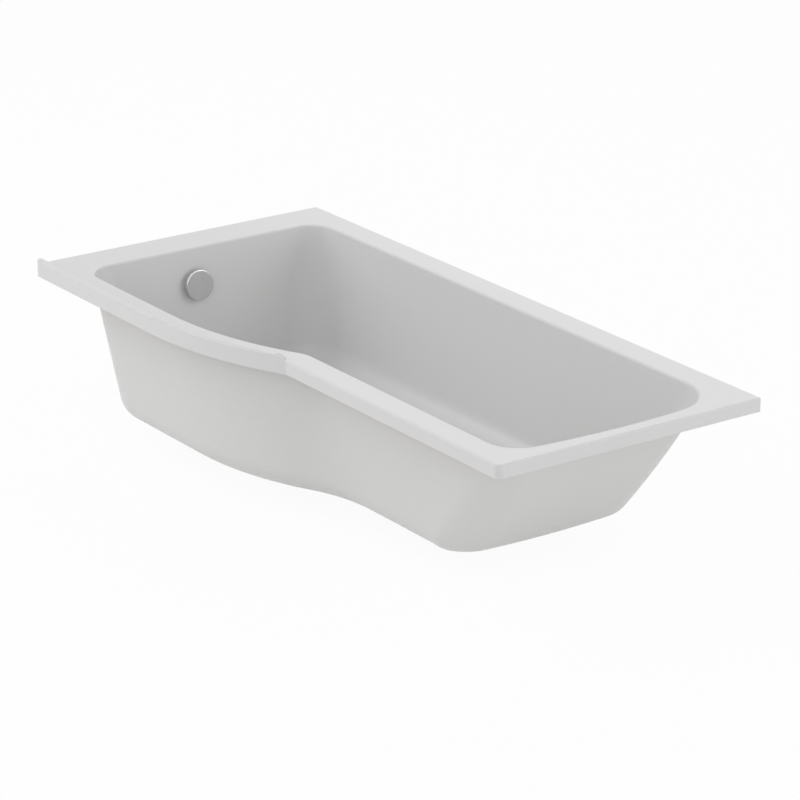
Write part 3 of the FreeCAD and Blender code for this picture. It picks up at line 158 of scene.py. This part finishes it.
# Pads: the edges of the base are insets from its radius and distances from its lower or upper face
PAD_STEPS = 96
PAD_BASE_HEIGHT = 0.007
PAD_LOWER_EDGE = ((0.0030, 0.0), (0.0012, 0.0004), (0.0003, 0.0013), (0.0, 0.0024))
PAD_UPPER_EDGE = ((0.0, 0.0008), (0.0004, 0.0))
PAD_RIBS = 12
PAD_RIB_POWER = 2
PAD_HOLLOW_INSET = 0.002
PAD_HOLLOW_POWER = 1.7
PAD_FLANK_SHARES = (0.06, 0.15, 0.27, 0.40, 0.55, 0.70, 0.85, 1.0)
PAD_TOP_RADIUS = 0.014
PAD_TOP_DROP = 0.002
PAD_NECK_INSET = 0.0006
PAD_NECK_RISE = 0.0013
PAD_TOP_INSET = 0.0020
PAD_SOCKET_DEPTH = 0.013
PAD_SOCKET_RADIUS = 0.00506
PAD_SOCKET_EASE = 0.0005

# Nuts
NUT_BORE = 0.00506
NUT_BORE_EASE = 0.0006
PIPE_NUT_FLATS = 0.046
PIPE_NUT_HEIGHT = 0.022
PIPE_NUT_SKIRT = 0.018
PIPE_NUT_SKIRT_BORE = 0.0194
PIPE_NUT_LIP_BORE = 0.0142

# Screws: the head's profile is in shares of its radius and height, the point in shares of the shank's radius
RAIL_SCREW = {"shank": 0.00225, "length": 0.017, "head": 0.0045, "height": 0.003}
CLAMP_SCREW = {"shank": 0.0025, "length": 0.028, "head": 0.0045, "height": 0.003}
CLAMP_SEAT_RISE = 0.002
HEAD_PROFILE = ((1.0, 0.0), (1.0, 0.40), (0.95, 0.66), (0.84, 0.85), (0.68, 0.96))
POINT_RADIUS = 0.35
POINT_LENGTH = 1.5
CROSS_REACH = 0.5
CROSS_TAPER = 0.55
CROSS_FLOOR = 0.42
CROSS_ANGLE = math.radians(15.0)

# Reading a node's separate solids
WELD_DISTANCE = 1e-6
SORT_DIGITS = 5


# Meshes

def turn_angles(steps=TURN_STEPS):
    return [math.tau * step / steps for step in range(steps)]


def ring(radius, height, angles):
    """Points round the Z axis; radius and height are numbers or functions of the angle."""
    points = []
    for angle in angles:
        reach = radius(angle) if callable(radius) else radius
        level = height(angle) if callable(height) else height
        points.append(Vector((reach * math.cos(angle), reach * math.sin(angle), level)))
    return points


def skin(form, rings, place, joined=False):
    """Adds faces through rings of points: the ends are capped, or joined where the form is hollow."""
    loops = [[form.verts.new(place @ point) for point in points] for points in rings]
    pairs = list(zip(loops, loops[1:]))
    if joined:
        pairs.append((loops[-1], loops[0]))
    for lower, upper in pairs:
        for step in range(len(lower)):
            following = (step + 1) % len(lower)
            form.faces.new((lower[step], lower[following], upper[following], upper[step]))
    if not joined:
        form.faces.new(list(reversed(loops[0])))
        form.faces.new(loops[-1])


def add_piece(name, form, body, node):
    """Turns a form into a piece that rides on a body, stands for a CAD node and has its finish."""
    bmesh.ops.recalc_face_normals(form, faces=form.faces)
    for face in form.faces:
        face.smooth = True
    for edge in form.edges:
        edge.smooth = edge.calc_face_angle(0.0) < SHARP_ANGLE
    mesh = bpy.data.meshes.new(name)
    form.to_mesh(mesh)
    form.free()
    mesh.materials.append(finishes[slot_of[node]])
    piece = bpy.data.objects.new(name, mesh)
    scene.collection.objects.link(piece)
    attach(piece, body)
    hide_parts(node)


def middle(node):
    low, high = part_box(node)
    return (low + high) / 2


def solid_centres(node):
    """Middle of each separate solid of a node."""
    form = bmesh.new()
    form.from_mesh(nodes[node].data)
    bmesh.ops.remove_doubles(form, verts=form.verts, dist=WELD_DISTANCE)
    waiting = set(form.verts)
    centres = []
    while waiting:
        solid = {waiting.pop()}
        edge = list(solid)
        while edge:
            linked = {link.other_vert(vert) for vert in edge for link in vert.link_edges}
            edge = list(linked - solid)
            solid |= linked
        waiting -= solid
        low = Vector([min(vert.co[axis] for vert in solid) for axis in range(3)])
        high = Vector([max(vert.co[axis] for vert in solid) for axis in range(3)])
        centres.append((low + high) / 2)
    form.free()
    return sorted(centres, key=lambda centre: tuple(round(number, SORT_DIGITS) for number in centre))


def hexagon(flats):
    """Radius of a hexagon with corners on the X axis, as a function of the angle."""
    def radius(angle):
        return flats / 2 / math.cos(angle % (math.pi / 3) - math.pi / 6)
    return radius


def hexagon_rings(flats, low, high, angles):
    """Rings of a hexagonal prism whose ends are chamfered, from its lower face to its upper one."""
    radius = hexagon(flats)
    circle = CHAMFER_CIRCLE * flats / 2

    def drop(angle):
        return (radius(angle) - circle) * math.tan(HEXAGON_CHAMFER)

    return [
        ring(circle, low, angles),
        ring(radius, lambda angle: low + drop(angle), angles),
        ring(radius, lambda angle: high - drop(angle), angles),
        ring(circle, high, angles),
    ]


def turn_to(axis, place):
    """Matrix that turns +Z to an axis, at a place."""
    return Matrix.Translation(place) @ Vector((0, 0, 1)).rotation_difference(axis).to_matrix().to_4x4()


# Materials

def add_node(tree, kind, inputs=None, **settings):
    """Adds a shader node whose inputs are linked to sockets or set to values."""
    made = tree.nodes.new(kind)
    for name, setting in settings.items():
        setattr(made, name, setting)
    for socket, value in (inputs or {}).items():
        if isinstance(value, bpy.types.NodeSocket):
            tree.links.new(value, made.inputs[socket])
        else:
            made.inputs[socket].default_value = value
    return made


def opaque(colour):
    """Colour for a socket that wants four numbers; a socket stays as it is."""
    return colour if isinstance(colour, bpy.types.NodeSocket) else (*colour, 1.0)


class Finish:
    """Principled material whose colour, roughness and bump come from procedural nodes."""

    def __init__(self, name, metallic=0.0):
        self.material = bpy.data.materials.new(f"{name}_finish")
        self.material.use_nodes = True
        self.tree = self.material.node_tree
        self.shader = self.tree.nodes["Principled BSDF"]
        self.shader.inputs["Metallic"].default_value = metallic
        self.place = self.node("ShaderNodeTexCoord").outputs["Object"]

    def node(self, kind, inputs=None, **settings):
        return add_node(self.tree, kind, inputs, **settings)

    def spread(self, scale):
        """Inputs of a pattern at one scale, or at three, along the axes of the frame."""
        if isinstance(scale, float):
            return {"Vector": self.place, "Scale": scale}
        stretched = self.node("ShaderNodeMapping", {"Vector": self.place, "Scale": scale})
        return {"Vector": stretched.outputs["Vector"], "Scale": 1.0}

    def noise(self, scale, detail):
        return self.node("ShaderNodeTexNoise", {**self.spread(scale), "Detail": detail}).outputs["Fac"]

    def cells(self, scale):
        """Random grey of each cell of a broken pattern."""
        colour = self.node("ShaderNodeTexVoronoi", self.spread(scale)).outputs["Color"]
        return self.node("ShaderNodeSeparateColor", {"Color": colour}).outputs["Red"]

    def between(self, factor, low, high, start=0.0, end=1.0):
        """Number that runs from low to high as the factor runs from start to end."""
        settings = {"Value": factor, "From Min": start, "From Max": end, "To Min": low, "To Max": high}
        return self.node("ShaderNodeMapRange", settings).outputs["Result"]

    def blend(self, factor, first, second):
        """Colour between two colours."""
        sockets = {"Factor": factor, MIX_FIRST: opaque(first), MIX_SECOND: opaque(second)}
        return self.node("ShaderNodeMix", sockets, data_type="RGBA").outputs[MIX_RESULT]

    def maths(self, operation, *values):
        return self.node("ShaderNodeMath", dict(enumerate(values)), operation=operation).outputs["Value"]

    def vectors(self, operation, first, second):
        return self.node("ShaderNodeVectorMath", {0: first, 1: second}, operation=operation).outputs

    def upward(self, vector):
        return self.node("ShaderNodeSeparateXYZ", {"Vector": vector}).outputs["Z"]

    def total(self, first, second, first_share, second_share):
        """Sum of two patterns, each times its share."""
        return self.maths("MULTIPLY_ADD", first, first_share, self.maths("MULTIPLY", second, second_share))

    def dress(self, colour, roughness, height=None, depth=0.0):
        """Links the shader's colour and roughness, and a bump of a depth in metres."""
        self.tree.links.new(colour, self.shader.inputs["Base Color"])
        self.tree.links.new(roughness, self.shader.inputs["Roughness"])
        if height:
            bump = self.node("ShaderNodeBump", {"Height": height, "Distance": depth})
            self.tree.links.new(bump.outputs["Normal"], self.shader.inputs["Normal"])
        return self.material


def backing_share(finish):
    """One on faces that look down, and on those below the apron that look away from the basin."""
    normal = finish.node("ShaderNodeNewGeometry").outputs["Normal"]
    from_middle = finish.vectors("SUBTRACT", finish.place, SHELL_MIDDLE)["Vector"]
    sideways = finish.vectors("MULTIPLY", from_middle, (1.0, 1.0, 0.0))["Vector"]
    outward = finish.vectors("DOT_PRODUCT", sideways, normal)["Value"]
    outside = finish.between(outward, low=0.0, high=1.0, start=0.0, end=OUTWARD_WIDTH)
    below = finish.between(finish.upward(finish.place), low=1.0, high=0.0,
                           start=APRON_BOTTOM - APRON_WIDTH, end=APRON_BOTTOM)
    underside = finish.between(finish.upward(normal), low=0.0, high=1.0,
                               start=DOWNWARD_START, end=DOWNWARD_END)
    return finish.maths("MAXIMUM", finish.maths("MULTIPLY", outside, below), underside)


def make_white_acrylic():
    """Gloss white sheet; where it faces down or out below the apron, its satin resin backing shows."""
    finish = Finish("white_acrylic")
    cloud = finish.noise(scale=2.5, detail=3.0)
    ripple = finish.noise(scale=70.0, detail=1.0)
    fibres = finish.noise(scale=260.0, detail=5.0)
    gloss = finish.blend(cloud, (0.735, 0.735, 0.733), (0.760, 0.760, 0.758))
    resin = finish.blend(fibres, (0.700, 0.700, 0.692), (0.770, 0.770, 0.764))
    backing = backing_share(finish)
    colour = finish.blend(backing, gloss, resin)
    sheen = finish.between(cloud, low=0.29, high=0.35)
    roughness = finish.maths("MULTIPLY_ADD", backing, BACKING_ROUGHNESS, sheen)
    shown_fibres = finish.maths("MULTIPLY", fibres, backing)
    texture = finish.maths("MULTIPLY_ADD", shown_fibres, FIBRE_RELIEF, ripple)
    return finish.dress(colour, roughness, texture, depth=0.00004)


def make_chrome():
    """Bright plate with a faint haze."""
    finish = Finish("chrome", metallic=1.0)
    haze = finish.noise(scale=45.0, detail=4.0)
    colour = finish.blend(haze, (0.58, 0.58, 0.59), (0.64, 0.64, 0.65))
    return finish.dress(colour, finish.between(haze, low=0.22, high=0.30))


def make_zinc_steel():
    """Bright zinc plate with a faint spangle."""
    finish = Finish("zinc_steel", metallic=1.0)
    spangle = finish.cells(scale=140.0)
    grain = finish.noise(scale=900.0, detail=3.0)
    colour = finish.blend(spangle, (0.52, 0.53, 0.54), (0.66, 0.67, 0.69))
    return finish.dress(colour, finish.between(grain, low=0.28, high=0.46), grain, depth=0.00003)


def make_stainless_steel():
    """Steel brushed along the Y axis."""
    finish = Finish("stainless_steel", metallic=1.0)
    lines = finish.noise(scale=(900.0, 60.0, 900.0), detail=3.0)
    colour = finish.blend(lines, (0.60, 0.60, 0.60), (0.70, 0.70, 0.69))
    return finish.dress(colour, finish.between(lines, low=0.22, high=0.40), lines, depth=0.00003)


def make_brass():
    """Brass with fine level tool lines."""
    finish = Finish("brass", metallic=1.0)
    lines = finish.noise(scale=(30.0, 30.0, 2200.0), detail=2.0)
    colour = finish.blend(lines, (0.66, 0.49, 0.22), (0.80, 0.62, 0.32))
    return finish.dress(colour, finish.between(lines, low=0.20, high=0.36), lines, depth=0.00004)


def make_moulded(name, dark, light, smooth, rough, depth):
    """Moulded plastic or rubber with a fine grain and a slow drift of colour."""
    finish = Finish(name)
    drift = finish.noise(scale=18.0, detail=3.0)
    grain = finish.noise(scale=1400.0, detail=2.0)
    colour = finish.blend(drift, dark, light)
    return finish.dress(colour, finish.between(grain, low=smooth, high=rough), grain, depth)


def make_cable_sheath():
    """Extruded sheath with a fine grain and a slow drift of colour."""
    finish = Finish("cable_sheath")
    drift = finish.noise(scale=30.0, detail=2.0)
    grain = finish.noise(scale=700.0, detail=1.0)
    colour = finish.blend(drift, (0.055, 0.055, 0.058), (0.110, 0.110, 0.115))
    return finish.dress(colour, finish.between(grain, low=0.38, high=0.55), grain, depth=0.00005)


def make_chipboard():
    """Pressed flat chips with dust among them."""
    finish = Finish("chipboard")
    chips = finish.cells(scale=(210.0, 210.0, 520.0))
    dust = finish.noise(scale=650.0, detail=4.0)
    tone = finish.total(chips, dust, first_share=0.75, second_share=0.35)
    colour = finish.blend(tone, (0.36, 0.23, 0.12), (0.72, 0.56, 0.36))
    return finish.dress(colour, finish.between(dust, low=0.72, high=0.92), tone, depth=0.0003)


def make_softwood(name, ring_scale, pore_scale):
    """Planed softwood; the axis with the smallest scales is that of its grain."""
    finish = Finish(name)
    rings = finish.noise(ring_scale, detail=4.0)
    pores = finish.noise(pore_scale, detail=2.0)
    tone = finish.total(rings, pores, first_share=0.8, second_share=0.25)
    band = finish.between(tone, low=0.0, high=1.0, start=0.3, end=0.75)
    colour = finish.blend(band, (0.52, 0.33, 0.15), (0.80, 0.62, 0.40))
    return finish.dress(colour, finish.between(pores, low=0.50, high=0.70), tone, depth=0.00015)


finishes = {
    "white_acrylic": make_white_acrylic(),
    "chrome": make_chrome(),
    "zinc_steel": make_zinc_steel(),
    "stainless_steel": make_stainless_steel(),
    "brass": make_brass(),
    "chipboard": make_chipboard(),
    "softwood": make_softwood("softwood", (6.0, 160.0, 160.0), (25.0, 900.0, 900.0)),
    "cable_sheath": make_cable_sheath(),
}
for moulded_name, look in MOULDED.items():
    finishes[moulded_name] = make_moulded(moulded_name, **look)
cross_grain = make_softwood("softwood_across", (160.0, 6.0, 160.0), (900.0, 25.0, 900.0))


# Carried-over nodes: finishes, and eased edges on the timber and the folded steel

def dress_nodes():
    for name, node in nodes.items():
        low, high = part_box(name)
        runs_across = high.y - low.y > high.x - low.x
        finish = finishes[slot_of[name]]
        if slot_of[name] == "softwood" and runs_across:
            finish = cross_grain
        node.data.materials.clear()
        node.data.materials.append(finish)


def ease_edges(names, width):
    for name in names:
        bevel = nodes[name].modifiers.new("eased_edges", "BEVEL")
        bevel.width = width
        bevel.segments = EDGE_SEGMENTS
        bevel.limit_method = "ANGLE"
        bevel.angle_limit = SHARP_ANGLE


# Feet

def thread_radius(level, angle):
    """Radius of a right-handed thread at a height and an angle."""
    phase = (level / THREAD_PITCH - angle / math.tau) % 1.0
    flank = (abs(2.0 * phase - 1.0) - THREAD_CREST) / THREAD_FLANK
    return STUD_RADIUS - THREAD_DEPTH * min(max(flank, 0.0), 1.0)


def add_stud(foot):
    """Plain end in the pad, hexagon collar on it, and a thread from the collar to the chamfered top."""
    node = f"foot_stud_{foot}"
    low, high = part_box(node)
    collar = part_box(f"foot_pad_{foot}")[1].z
    start = collar + COLLAR_HEIGHT
    angles = turn_angles()

    def threaded(level):
        chamfer = max(level - (high.z - STUD_CHAMFER), 0.0)

        def radius(angle):
            return min(thread_radius(level - start, angle), STUD_RADIUS - chamfer)
        return radius

    rings = [
        ring(STUD_RADIUS - STUD_CHAMFER, low.z, angles),
        ring(STUD_RADIUS, low.z + STUD_CHAMFER, angles),
        ring(STUD_RADIUS, collar, angles),
    ]
    rings += hexagon_rings(STUD_FLATS, collar, start, angles)
    rows = round((high.z - start) / THREAD_PITCH * THREAD_ROWS_PER_TURN)
    for row in range(rows + 1):
        level = start + (high.z - start) * row / rows
        rings.append(ring(threaded(level), level, angles))
    form = bmesh.new()
    skin(form, rings, Matrix.Translation((middle(node).x, middle(node).y, 0.0)))
    add_piece(f"threaded_stud_{foot}", form, f"foot_{foot}", node)


def add_pad(foot):
    """Moulded pad with a hollow flank between radial ribs, and a socket for the stud."""
    node = f"foot_pad_{foot}"
    low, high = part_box(node)
    base = (high.x - low.x) / 2
    height = high.z - low.z
    top = height - PAD_TOP_DROP
    angles = turn_angles(PAD_STEPS)

    def flank(share):
        """Radius at a share of the flank's height: the full cone on the ribs, hollow between them."""
        cone = base + (PAD_TOP_RADIUS - base) * share
        flare = base - PAD_HOLLOW_INSET - PAD_TOP_RADIUS
        hollow = PAD_TOP_RADIUS + flare * (1.0 - share) ** PAD_HOLLOW_POWER

        def radius(angle):
            wave = 0.5 + 0.5 * math.cos(PAD_RIBS * angle)
            return min(hollow + (cone - hollow) * wave ** PAD_RIB_POWER, cone)
        return radius

    profile = [(base - inset, rise) for inset, rise in PAD_LOWER_EDGE]
    profile += [(base - inset, PAD_BASE_HEIGHT - drop) for inset, drop in PAD_UPPER_EDGE]
    for share in PAD_FLANK_SHARES:
        profile.append((flank(share), PAD_BASE_HEIGHT + (top - PAD_BASE_HEIGHT) * share))
    profile += [
        (PAD_TOP_RADIUS - PAD_NECK_INSET, top + PAD_NECK_RISE),
        (PAD_TOP_RADIUS - PAD_TOP_INSET, height),
        (PAD_SOCKET_RADIUS + PAD_SOCKET_EASE, height),
        (PAD_SOCKET_RADIUS, height - PAD_SOCKET_EASE),
        (PAD_SOCKET_RADIUS, height - PAD_SOCKET_DEPTH),
    ]
    rings = [ring(radius, level, angles) for radius, level in profile]
    form = bmesh.new()
    skin(form, rings, Matrix.Translation((middle(node).x, middle(node).y, low.z)))
    add_piece(f"ribbed_pad_{foot}", form, f"foot_{foot}", node)


# Nuts and screws

def add_lock_nuts(feet):
    """A chamfered nut round each stud, with eased ends of its bore."""
    low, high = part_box("foot_lock_nuts")
    angles = turn_angles()
    rings = [ring(NUT_BORE + NUT_BORE_EASE, low.z, angles)]
    rings += hexagon_rings(STUD_FLATS, low.z, high.z, angles)
    rings += [
        ring(NUT_BORE + NUT_BORE_EASE, high.z, angles),
        ring(NUT_BORE, high.z - NUT_BORE_EASE, angles),
        ring(NUT_BORE, low.z + NUT_BORE_EASE, angles),
    ]
    form = bmesh.new()
    for foot in feet:
        centre = middle(f"foot_stud_{foot}")
        skin(form, rings, Matrix.Translation((centre.x, centre.y, 0.0)), joined=True)
    add_piece("chamfered_lock_nuts", form, "bath", "foot_lock_nuts")


def add_pipe_nut(end, axis):
    """Compression nut drawn with its skirt down, and its lip round the pipe at the top."""
    node = f"overflow_pipe_nut_{end}"
    angles = turn_angles()
    high = PIPE_NUT_HEIGHT / 2
    low = -high
    shoulder = low + PIPE_NUT_SKIRT
    rings = [ring(PIPE_NUT_SKIRT_BORE, low, angles)]
    rings += hexagon_rings(PIPE_NUT_FLATS, low, high, angles)
    rings += [
        ring(PIPE_NUT_LIP_BORE, high, angles),
        ring(PIPE_NUT_LIP_BORE, shoulder, angles),
        ring(PIPE_NUT_SKIRT_BORE, shoulder, angles),
    ]
    form = bmesh.new()
    skin(form, rings, turn_to(axis, middle(node)), joined=True)
    add_piece(f"chamfered_pipe_nut_{end}", form, "bath", node)


def cross_outline(reach):
    """Radius of a cross-shaped recess, as a function of the angle."""
    def radius(angle):
        turn = abs((angle + math.pi / 4) % (math.pi / 2) - math.pi / 4)
        if turn <= CROSS_ANGLE:
            return reach * math.cos(CROSS_ANGLE) / math.cos(turn)
        return reach * math.sin(CROSS_ANGLE) / math.sin(turn)
    return radius


def add_screw(form, place, shank, length, head, height):
    """Pan-headed screw with a cross recess, drawn with its seat at zero and its head upwards."""
    angles = turn_angles()
    cross = cross_outline(CROSS_REACH * head)
    profile = [(POINT_RADIUS * shank, -length), (shank, -length + POINT_LENGTH * shank), (shank, 0.0)]
    profile += [(reach * head, rise * height) for reach, rise in HEAD_PROFILE]
    profile += [(cross, height), (lambda angle: CROSS_TAPER * cross(angle), CROSS_FLOOR * height)]
    skin(form, [ring(radius, level, angles) for radius, level in profile], place)


def add_rail_screws():
    """Screws that point up, with their heads under the rails."""
    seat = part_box("rail_screws")[0].z + RAIL_SCREW["height"]
    form = bmesh.new()
    for centre in solid_centres("rail_screws"):
        place = turn_to(Vector((0, 0, -1)), Vector((centre.x, centre.y, seat)))
        add_screw(form, place, **RAIL_SCREW)
    add_piece("cross_head_rail_screws", form, "bath", "rail_screws")


def add_clamp_screws(axis):
    """Screws along the overflow's axis, with their heads on the clamp plate in the basin."""
    form = bmesh.new()
    for centre in solid_centres("overflow_clamp_screws"):
        seat = middle("overflow_clamp_plate") + axis * CLAMP_SEAT_RISE
        seat.y = centre.y
        add_screw(form, turn_to(axis, seat), **CLAMP_SCREW)
    add_piece("cross_head_clamp_screws", form, "bath", "overflow_clamp_screws")


# Stage, light and camera

def seen_directly(tree):
    """One for rays from the camera, mirrors and glass, and nought for the rest."""
    path = add_node(tree, "ShaderNodeLightPath").outputs
    total = path["Is Camera Ray"]
    for ray in ("Is Glossy Ray", "Is Transmission Ray"):
        larger = add_node(tree, "ShaderNodeMath", {0: total, 1: path[ray]}, operation="MAXIMUM")
        total = larger.outputs["Value"]
    return total


def make_floor():
    """White floor that keeps a soft shadow."""
    form = bmesh.new()
    bmesh.ops.create_grid(form, x_segments=1, y_segments=1, size=FLOOR_SIZE / 2)
    mesh = bpy.data.meshes.new("floor")
    form.to_mesh(mesh)
    form.free()
    floor = bpy.data.objects.new("floor", mesh)
    scene.collection.objects.link(floor)
    material = bpy.data.materials.new("white_floor")
    material.use_nodes = True
    tree = material.node_tree
    tree.nodes.remove(tree.nodes["Principled BSDF"])
    matt = add_node(tree, "ShaderNodeBsdfDiffuse", {"Color": FLOOR_COLOUR}).outputs["BSDF"]
    glow = add_node(tree, "ShaderNodeEmission", {"Strength": 1.0}).outputs["Emission"]
    share = add_node(tree, "ShaderNodeMath", {0: seen_directly(tree), 1: FLOOR_GLOW}, operation="MULTIPLY")
    mix = add_node(tree, "ShaderNodeMixShader", {"Fac": share.outputs["Value"], 1: matt, 2: glow})
    tree.links.new(mix.outputs["Shader"], tree.nodes["Material Output"].inputs["Surface"])
    mesh.materials.append(material)


def make_surroundings():
    """White where it is seen or mirrored, and dimmer where it lights the bath."""
    world = bpy.data.worlds.new("white_surroundings")
    scene.world = world
    world.use_nodes = True
    tree = world.node_tree
    background = tree.nodes["Background"]
    background.inputs["Color"].default_value = WHITE
    levels = {"Value": seen_directly(tree), "To Min": AMBIENT, "To Max": 1.0}
    strength = add_node(tree, "ShaderNodeMapRange", levels).outputs["Result"]
    tree.links.new(strength, background.inputs["Strength"])


def make_softboxes():
    for name, (compass, elevation, size, power) in SOFTBOXES.items():
        turn = math.radians(compass)
        tilt = math.radians(elevation)
        lamp = bpy.data.lights.new(name, "AREA")
        lamp.size = size
        lamp.energy = power
        outwards = Vector((math.cos(tilt) * math.cos(turn), math.cos(tilt) * math.sin(turn), math.sin(tilt)))
        holder = bpy.data.objects.new(name, lamp)
        holder.location = SOFTBOX_TARGET + SOFTBOX_REACH * outwards
        holder.rotation_euler = (-outwards).to_track_quat("-Z", "Y").to_euler()
        scene.collection.objects.link(holder)


def make_camera():
    right = Vector((math.cos(CAMERA_AZIMUTH), math.sin(CAMERA_AZIMUTH), 0.0))
    ahead = Vector((-math.sin(CAMERA_AZIMUTH) * math.cos(CAMERA_ELEVATION),
                    math.cos(CAMERA_AZIMUTH) * math.cos(CAMERA_ELEVATION), -math.sin(CAMERA_ELEVATION)))
    turn = Matrix((right, right.cross(ahead), -ahead)).transposed()
    lens = bpy.data.cameras.new("camera")
    lens.sensor_width = CAMERA_SENSOR
    lens.lens = CAMERA_LENS
    lens.clip_end = CAMERA_FAR
    camera = bpy.data.objects.new("camera", lens)
    camera.matrix_world = Matrix.Translation(CAMERA_PLACE) @ turn.to_4x4()
    scene.collection.objects.link(camera)
    scene.camera = camera


def main():
    feet = [body[len("foot_"):] for body in frame["bodies"] if body.startswith("foot_")]
    knob_joint = next(joint for joint in frame["joints"] if joint["name"] == "knob_turn")
    knob_axis = Vector(knob_joint["axis"])
    down_the_wall = Vector((knob_axis.z, 0.0, -knob_axis.x))
    dress_nodes()
    ease_edges([name for name in nodes if name.startswith("rim_batten")], BATTEN_EDGE)
    ease_edges(["leg_rail_tap_end", "leg_rail_backrest_end"], RAIL_EDGE)
    for foot in feet:
        add_stud(foot)
        add_pad(foot)
    add_lock_nuts(feet)
    add_rail_screws()
    add_pipe_nut("top", down_the_wall)
    add_pipe_nut("bottom", Vector((-1.0, 0.0, 0.0)))
    add_clamp_screws(knob_axis)
    make_floor()
    make_surroundings()
    make_softboxes()
    make_camera()
    scene.view_settings.view_transform = "Standard"


main()
bpy.context.view_layer.update()
